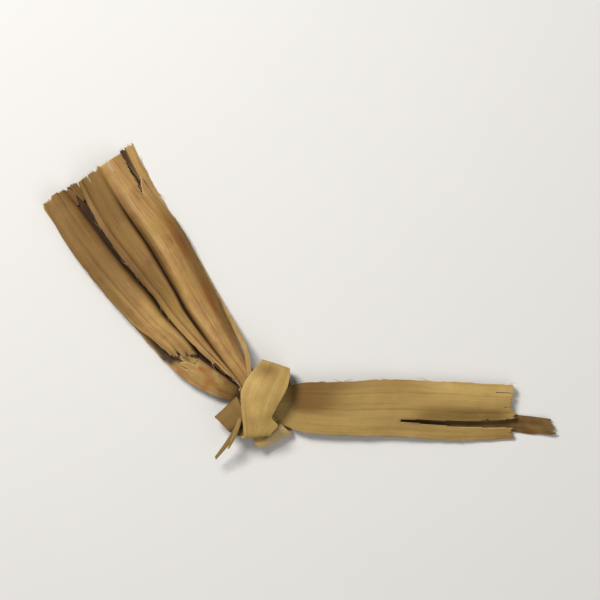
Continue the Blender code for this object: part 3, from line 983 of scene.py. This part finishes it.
def fibre_growth():
    """Torn fibres: a bent bristle of unit length on every guide point, aimed and then sized."""
    grow = Growth(
        "torn_fibres",
        (
            ("Girth", "NodeSocketFloat", 0.035),
            ("Bend", "NodeSocketFloat", 0.22),
            ("Seed", "NodeSocketInt", 3),
            ("Material", "NodeSocketMaterial", None),
        ),
    )
    knee = grow.node("ShaderNodeCombineXYZ", {}, {"X": grow.given("Bend"), "Z": 0.55})
    ends = {"Resolution": 4, "Start": (0, 0, 0), "Middle": knee, "End": (0, 0, 1)}
    stalk = grow.node("GeometryNodeCurveQuadraticBezier", {}, ends)
    where = grow.node("GeometryNodeSplineParameter", {}, {})
    taper = {"Value": where, "To Min": 1.0, "To Max": 0.15}
    taper = grow.node("ShaderNodeMapRange", {}, taper)
    bristle = grow.wire(stalk, taper, grow.given("Girth"), 4)
    aim = {"Vector": grow.attribute("aim", "FLOAT_VECTOR")}
    turn = grow.node("FunctionNodeAlignRotationToVector", {"axis": "Z"}, aim)
    half = {2: -math.pi, 3: math.pi, "Seed": grow.given("Seed")}
    spin = grow.node("FunctionNodeRandomValue", {"data_type": "FLOAT"}, half, out=1)
    roll = grow.node("FunctionNodeAxisAngleToRotation", {}, {"Axis": (0, 0, 1), "Angle": spin})
    both = {"Rotation": turn, "Rotate By": roll}
    whole = grow.node("FunctionNodeRotateRotation", {"rotation_space": "LOCAL"}, both)
    spots = grow.node("GeometryNodeMeshToPoints", {}, {"Mesh": grow.given("Geometry")})
    planted = {
        "Points": spots,
        "Instance": bristle,
        "Rotation": whole,
        "Scale": grow.attribute("reach", "FLOAT"),
    }
    grow.end(grow.node("GeometryNodeInstanceOnPoints", {}, planted))
    return grow


def grown(name, points, edges, layers, growth, inputs):
    """What a tree makes of a guide, as a plain mesh that rides on the root."""
    guide = bpy.data.meshes.new(name + "_guide")
    guide.from_pydata(((points + KNOT) * MM).tolist(), edges, [])
    for label, values in layers.items():
        add_layer(guide, label, values)
    carrier = linked(name + "_guide", guide)
    shaper = carrier.modifiers.new("grow", "NODES")
    shaper.node_group = growth.tree
    for key, value in inputs.items():
        shaper[growth.ids[key]] = value
    graph = bpy.context.evaluated_depsgraph_get()
    mesh = bpy.data.meshes.new_from_object(carrier.evaluated_get(graph), depsgraph=graph)
    bpy.data.objects.remove(carrier)
    mesh.name = name
    spots = np.empty(len(mesh.vertices) * 3, np.float32)
    mesh.vertices.foreach_get("co", spots)
    spots[2::3] = np.maximum(spots[2::3], FLOOR_GAP * MM)
    mesh.vertices.foreach_set("co", spots)
    mesh.update()
    mesh.shade_smooth()
    return placed(name, mesh)


def grow_veins(name, sheet, lanes, growth, inputs, step=0.7):
    """Raised veins on a sheet's upper side: a lane is (first place, last place, its share)."""
    places, shares, swell, edges = [], [], [], []
    for first, last, share_at in lanes:
        ends = np.interp([first, last], sheet.places, sheet.lengths)
        count = max(6, int((ends[1] - ends[0]) / step))
        along = np.linspace(*ends, count + 1)
        here = np.interp(along, sheet.lengths, sheet.places)
        sway = 0.012 * np.sin(along / 5 + 17 * share_at(first))
        start = sum(len(part) for part in places)
        edges += [(start + number, start + number + 1) for number in range(count)]
        places.append(here)
        shares.append(np.array([share_at(place) for place in here]) + sway)
        part = np.linspace(0, 1, count + 1)
        swell.append((0.25 + 0.75 * np.sin(math.pi * part) ** 0.5) * (1 - 0.2 * np.sin(along)))
    places, shares = np.concatenate(places), np.concatenate(shares)
    normals = sheet.pick(sheet.normals, places, shares)
    points = sheet.pick(sheet.points, places, shares) + normals * (sheet.wall / 2 - VEIN_SINK)
    layers = {key: sheet.pick(grid, places, shares) for key, grid in sheet.grids().items()}
    layers["raw"] = np.zeros_like(layers["raw"])
    layers["swell"] = np.concatenate(swell)[:, None]
    return grown(name, points, edges, layers, growth, inputs)


class Bristles:
    """Guide points for torn fibres, gathered from the edges of several sheets."""

    def __init__(self, seed):
        self.random = np.random.default_rng(seed)
        self.rows = []

    def add(self, sheet, grids, row, column, aim, reach):
        """One fibre, which looks like the leaf at its root."""
        values = {key: grid[row, column] for key, grid in grids.items()}
        aim = aim / np.linalg.norm(aim)
        point = sheet.points[row, column] - aim * FIBRE_ROOT
        if point[2] < LOW_FIBRE:
            aim[2] = abs(aim[2])
        values.update(point=point, aim=aim, reach=np.array([reach * MM]))
        self.rows.append(values)

    def at_end(self, sheet, count, far, shares=(-1.0, 1.0), longest=0.9):
        """Short fibres that stand out of a cut or torn end."""
        grids = sheet.grids()
        columns = np.flatnonzero((sheet.shares[0] >= shares[0]) & (sheet.shares[0] <= shares[1]))
        columns = columns[columns < sheet.columns - 1]
        for column in self.random.choice(columns, count):
            rows = np.flatnonzero(sheet.kept[:, column])
            if len(rows) == 0:
                continue
            row = rows[-1] + 1 if far else rows[0]
            index = min(row, len(sheet.places) - 1)
            sideways, upward = self.random.normal(0, 0.22), self.random.normal(0.05, 0.15)
            aim = sheet.forward[index] * (1 if far else -1) + sheet.width[index] * sideways
            aim = aim + sheet.normals[index, column] * upward
            self.add(sheet, grids, index, column, aim, self.random.uniform(0.3, longest))

    def along_edge(self, sheet, count, right, first, last, longest=2.4):
        """Fine fibres that peel off along a torn side."""
        grids = sheet.grids()
        rows = np.flatnonzero((sheet.places > first) & (sheet.places < last))
        for row in self.random.choice(rows, count):
            columns = np.flatnonzero(sheet.kept[min(row, len(sheet.kept) - 1)])
            if len(columns) == 0:
                continue
            column = columns[-1] + 1 if right else columns[0]
            outward = (1 if right else -1) * self.random.uniform(0.06, 0.3)
            turn = self.random.choice((-1, 1))
            aim = sheet.forward[row] * turn + sheet.width[row] * outward
            aim = aim + sheet.normals[row, column] * self.random.normal(0.02, 0.06)
            self.add(sheet, grids, row, column, aim, self.random.uniform(0.8, longest))

    def plant(self, name, growth, inputs):
        """Grows every gathered fibre."""
        points = np.array([values["point"] for values in self.rows])
        keys = [key for key in self.rows[0] if key != "point"]
        layers = {key: np.array([values[key] for values in self.rows]) for key in keys}
        layers["raw"] = np.full_like(layers["raw"], FIBRE_PALE)
        return grown(name, points, [], layers, growth, inputs)


# ---- settings and operators


def colour_property(name, words, colour):
    return bpy.props.FloatVectorProperty(
        name=name, description=words, default=colour, subtype="COLOR", size=3, min=0, max=1
    )


def length_property(name, words, length):
    return bpy.props.FloatProperty(
        name=name, description=words, default=length, unit="LENGTH", precision=5, min=0.00001
    )


class LeafSettings(bpy.types.PropertyGroup):
    """Sizes and colours of the dried leaf."""

    wall: length_property("Wall", "Thickness of a dried ribbon", 0.00034)
    vein_radius: length_property("Vein radius", "Radius of a raised vein", 0.00007)
    fibre_girth: bpy.props.FloatProperty(
        name="Fibre girth", description="Radius of a fibre as a share of its length", default=0.035
    )
    deep_tan: colour_property("Deep tan", "Darker streaks of the leaf", (0.215, 0.103, 0.027))
    pale_tan: colour_property("Pale tan", "Lighter streaks of the leaf", (0.52, 0.312, 0.112))
    olive: colour_property("Olive", "Greenish clouds on the leaf", (0.31, 0.195, 0.046))
    straw: colour_property("Straw", "Yellow of the wrap and the right tail", (0.53, 0.36, 0.12))
    deep_straw: colour_property("Deep straw", "Darker streaks of the yellow", (0.36, 0.232, 0.062))
    rust: colour_property("Rust", "Rust-orange stains", (0.34, 0.125, 0.022))
    # Painted shade, with the leaf's darker tones, keeps this share of the colour.
    shade: colour_property("Shade", "What darkened leaf keeps of its colour", (0.4, 0.35, 0.25))
    umber: colour_property("Umber", "Dark brown streaks and specks", (0.075, 0.032, 0.009))
    # The near-black of painted shade in folds, gaps and under edges.
    crease: colour_property("Crease", "Bottom of the sharp folds", (0.022, 0.008, 0.003))
    # Also the colour of the painted highlights.
    raw_edge: colour_property("Raw edge", "Pale torn and cut edges", (0.62, 0.47, 0.27))


class StageSettings(bpy.types.PropertyGroup):
    """The floor and the light."""

    floor: colour_property("Floor", "Colour of the floor", (0.66, 0.65, 0.63))
    key_power: bpy.props.FloatProperty(
        name="Key light", description="Power of the main soft light, in watts", default=2.75, min=0
    )


RIBBONS = {
    "wide": (WIDE_RIBBON, 64, wide_section, tear_wide, stain_and_shade_wide),
    "side": (SIDE_RIBBON, 56, side_section, tear_side, stain_and_shade_side),
    "strand": (NARROW_STRAND, 8, strand_section, tear_strip, stain_and_shade_strand),
}
MATERIAL_SEEDS = {"leaf_wide": 0.0, "leaf_side": 7.3, "leaf_strand": 3.1}


def ribbon_sheet(name, settings):
    """A ribbon, torn and stained, ready to be made a mesh of."""
    stations, columns, section, tear, stain = RIBBONS[name]
    sheet = Sheet(stations, columns, section, settings.wall / MM)
    tear(sheet)
    stain(sheet)
    return sheet


def small_sheet(stations, settings, tones):
    """A short strip with frayed ends and one tone all over."""
    sheet = Sheet(stations, 6, strand_section, settings.wall / MM, step=SMALL_STEP)
    tear_strip(sheet)
    sheet.stain(*tones)
    return sheet


def made_material(name, settings):
    """The named leaf material, made when it is first asked for."""
    return bpy.data.materials.get(name) or leaf_material(name, settings, MATERIAL_SEEDS[name])


class LeafOperator:
    """Builds its pieces from one group of the scene's settings."""

    bl_options = {"REGISTER", "UNDO"}
    group = "torn_leaf"

    def execute(self, context):
        self.make(getattr(context.scene, self.group))
        return {"FINISHED"}


class LEAF_OT_wide_ribbon(LeafOperator, bpy.types.Operator):
    """Builds the knotted ribbon: the pleated fan, the knot and the right tail"""

    bl_idname = "torn_leaf.wide_ribbon"
    bl_label = "Wide ribbon"

    def make(self, settings):
        sheet = ribbon_sheet("wide", settings)
        material = made_material("leaf_wide", settings)
        made = leaf_object("wide_leaf", [sheet], material)
        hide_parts("wide_ribbon")


class LEAF_OT_side_ribbon(LeafOperator, bpy.types.Operator):
    """Builds the ribbon folded double, with its torn upper flap and its brown tip"""

    bl_idname = "torn_leaf.side_ribbon"
    bl_label = "Side ribbon"

    def make(self, settings):
        sheet = ribbon_sheet("side", settings)
        material = made_material("leaf_side", settings)
        made = leaf_object("side_leaf", [sheet], material)
        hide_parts("side_ribbon")


class LEAF_OT_narrow_strand(LeafOperator, bpy.types.Operator):
    """Builds the thin strand and the two splinters that it ends in"""

    bl_idname = "torn_leaf.narrow_strand"
    bl_label = "Narrow strand"

    def make(self, settings):
        splinter = small_sheet(SPLINTER, settings, SPLINTER_TONES)
        sheets = [ribbon_sheet("strand", settings), splinter]
        material = made_material("leaf_strand", settings)
        made = leaf_object("strand_leaf", sheets, material)
        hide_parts("narrow_strand")


class LEAF_OT_inner_vein(LeafOperator, bpy.types.Operator):
    """Builds the brown inner vein, bare between the fan's two ribbons and painted dark as the
    shade in the gap between them
    """

    bl_idname = "torn_leaf.inner_vein"
    bl_label = "Inner vein"

    def make(self, settings):
        sheet = small_sheet(INNER_VEIN, settings, VEIN_TONES)
        # Painted shade: darker from a little behind the cut end on, as the gap between the
        # ribbons.
        sheet.crease[:] = 0.35 + 0.55 * ramp(sheet.place, 0.5, 1.5)
        material = made_material("leaf_side", settings)
        made = leaf_object("bare_vein", [sheet], material)
        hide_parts("inner_vein")


class LEAF_OT_shreds(LeafOperator, bpy.types.Operator):
    """Builds the torn shreds: the brown web beside the fan and the lips under the torn flap"""

    bl_idname = "torn_leaf.shreds"
    bl_label = "Torn shreds"

    def make(self, settings):
        sheets = [small_sheet(stations, settings, WEB_TONES) for stations in WEB_SHREDS]
        for number, stations in enumerate(LIP_SHREDS):
            sheets.append(small_sheet(stations, settings, (0, 0.55, 0.12 * number, 0)))
        leaf_object("torn_shreds", sheets, made_material("leaf_side", settings))


class LEAF_OT_veins(LeafOperator, bpy.types.Operator):
    """Grows the raised veins that run along the ribbons' upper sides"""

    bl_idname = "torn_leaf.veins"
    bl_label = "Raised veins"

    def make(self, settings):
        wide, side = (ribbon_sheet(name, settings) for name in ("wide", "side"))
        growth = vein_growth()

        def left_of_pleat(part):
            return lambda place: -1 + part * (0.92 + PLEAT_PLACE + PLEAT_DRIFT * place)

        def right_of_pleat(part):
            low = PLEAT_PLACE + 0.14
            return lambda place: 1 - part * (1 - low - PLEAT_DRIFT * place)

        def level(share):
            return lambda place: share

        def lanes(first, last, way, shares):
            return [(first, last, way(share)) for share in shares]

        fan = lanes(0.15, 6.4, left_of_pleat, (0.07, 0.36, 0.58, 0.8))
        fan += lanes(0.15, 6.6, right_of_pleat, (0.08, 0.24, 0.42, 0.58, 0.74, 0.9))
        wrap = lanes(21.4, 28.2, level, (-0.82, -0.5, -0.18, 0.12, 0.48, 0.8))
        tail = lanes(40.6, 44.6, level, (-0.86, -0.66, -0.3, -0.1, 0.16, 0.44))
        tail += lanes(40.6, 44.7, level, (0.62, 0.84))
        flap = lanes(0.15, 5.2, level, (-0.24, -0.42, -0.56, -0.74, -0.9))
        for name, sheet, veins, material, slot in (
            ("wide_veins", wide, fan + wrap + tail, "leaf_wide", "wide_ribbon"),
            ("side_veins", side, flap, "leaf_side", "side_ribbon"),
        ):
            material = made_material(material, settings)
            inputs = {"Vein radius": settings.vein_radius, "Material": material}
            grow_veins(name, sheet, veins, growth, inputs)


class LEAF_OT_fibres(LeafOperator, bpy.types.Operator):
    """Grows the torn fibres along the cut ends, the torn flap, the slit and the sides"""

    bl_idname = "torn_leaf.fibres"
    bl_label = "Torn fibres"

    def make(self, settings):
        wide, side, strand = (ribbon_sheet(name, settings) for name in RIBBONS)
        bristles = Bristles(FIBRE_SEED)
        bristles.at_end(wide, 34, far=False)
        bristles.at_end(wide, 34, far=True, longest=1.4)
        bristles.at_end(side, 20, far=False)
        bristles.at_end(side, 40, far=True, shares=(-0.95, -0.1), longest=1.5)
        bristles.at_end(side, 12, far=True, shares=(0.1, 0.95))
        bristles.at_end(strand, 6, far=False)
        for sheet, count, right, first, last in (
            (wide, 16, False, 0.4, 6.0),
            (wide, 12, True, 0.4, 6.0),
            (wide, 12, False, 41.0, 44.8),
            (wide, 12, True, 41.0, 44.8),
            (side, 14, True, 0.5, 6.5),
            (strand, 8, True, 0.3, 3.0),
        ):
            bristles.along_edge(sheet, count, right, first, last)
        material = made_material("leaf_side", settings)
        inputs = {"Girth": settings.fibre_girth, "Material": material}
        bristles.plant("torn_fibres", fibre_growth(), inputs)


class LEAF_OT_stage(LeafOperator, bpy.types.Operator):
    """Builds the floor, the soft light and the camera that looks straight down"""

    bl_idname = "torn_leaf.stage"
    bl_label = "Stage"
    group = "torn_leaf_stage"

    def make(self, look):
        mesh = bpy.data.meshes.new("floor")
        half = FLOOR_HALF
        corners = [(-half, -half, 0), (half, -half, 0), (half, half, 0), (-half, half, 0)]
        mesh.from_pydata(corners, [], [(0, 1, 2, 3)])
        mesh.materials.append(plain_material("floor_paint", tuple(look.floor), 0.9))
        floor = linked("floor", mesh)

        def lamp(name, power, size, place):
            """A square soft light that looks at the frame's origin."""
            light = bpy.data.lights.new(name, "AREA")
            light.energy = power
            light.size = size
            light.color = (1.0, 0.985, 0.96)
            made = linked(name, light)
            made.location = place
            made.rotation_euler = (-Vector(place)).to_track_quat("-Z", "Y").to_euler()

        lamp("key_light", look.key_power, 0.16, (-0.19, 0.23, 0.41))
        lamp("fill_light", look.key_power * 0.32, 0.5, (0.26, -0.32, 0.42))
        world = bpy.data.worlds.new("soft_room")
        world.use_nodes = True
        sky = world.node_tree.nodes["Background"].inputs
        sky["Color"].default_value = (1, 1, 1, 1)
        sky["Strength"].default_value = 0.26
        bpy.context.scene.world = world

        lens = bpy.data.cameras.new("camera")
        lens.sensor_width = 36
        lens.lens = lens.sensor_width * CAMERA_HEIGHT / VIEW_WIDTH
        camera = linked("camera", lens)
        low, high = CAD_BOX
        camera.location = ((low.x + high.x) / 2, (low.y + high.y) / 2, CAMERA_HEIGHT)
        bpy.context.scene.camera = camera
        bpy.context.scene.view_settings.view_transform = "Standard"


OPERATORS = (
    LEAF_OT_wide_ribbon,
    LEAF_OT_side_ribbon,
    LEAF_OT_narrow_strand,
    LEAF_OT_inner_vein,
    LEAF_OT_shreds,
    LEAF_OT_veins,
    LEAF_OT_fibres,
    LEAF_OT_stage,
)


class LEAF_PT_panel(bpy.types.Panel):
    """Lists the pieces of the leaf and their settings"""

    bl_idname = "LEAF_PT_panel"
    bl_label = "Torn banana leaf"
    bl_space_type = "VIEW_3D"
    bl_region_type = "UI"
    bl_category = "Leaf"

    def draw(self, context):
        for group in (context.scene.torn_leaf, context.scene.torn_leaf_stage):
            box = self.layout.box()
            for name in group.__annotations__:
                box.prop(group, name)
        for operator in OPERATORS:
            self.layout.operator(operator.bl_idname)


CLASSES = (LeafSettings, StageSettings, *OPERATORS, LEAF_PT_panel)


def register():
    for made in CLASSES:
        bpy.utils.register_class(made)
    bpy.types.Scene.torn_leaf = bpy.props.PointerProperty(type=LeafSettings)
    bpy.types.Scene.torn_leaf_stage = bpy.props.PointerProperty(type=StageSettings)


def unregister():
    del bpy.types.Scene.torn_leaf_stage
    del bpy.types.Scene.torn_leaf
    for made in reversed(CLASSES):
        bpy.utils.unregister_class(made)


def main():
    register()
    for operator in OPERATORS:
        getattr(bpy.ops.torn_leaf, operator.bl_idname.split(".")[1])()


if __name__ == "__main__":
    main()
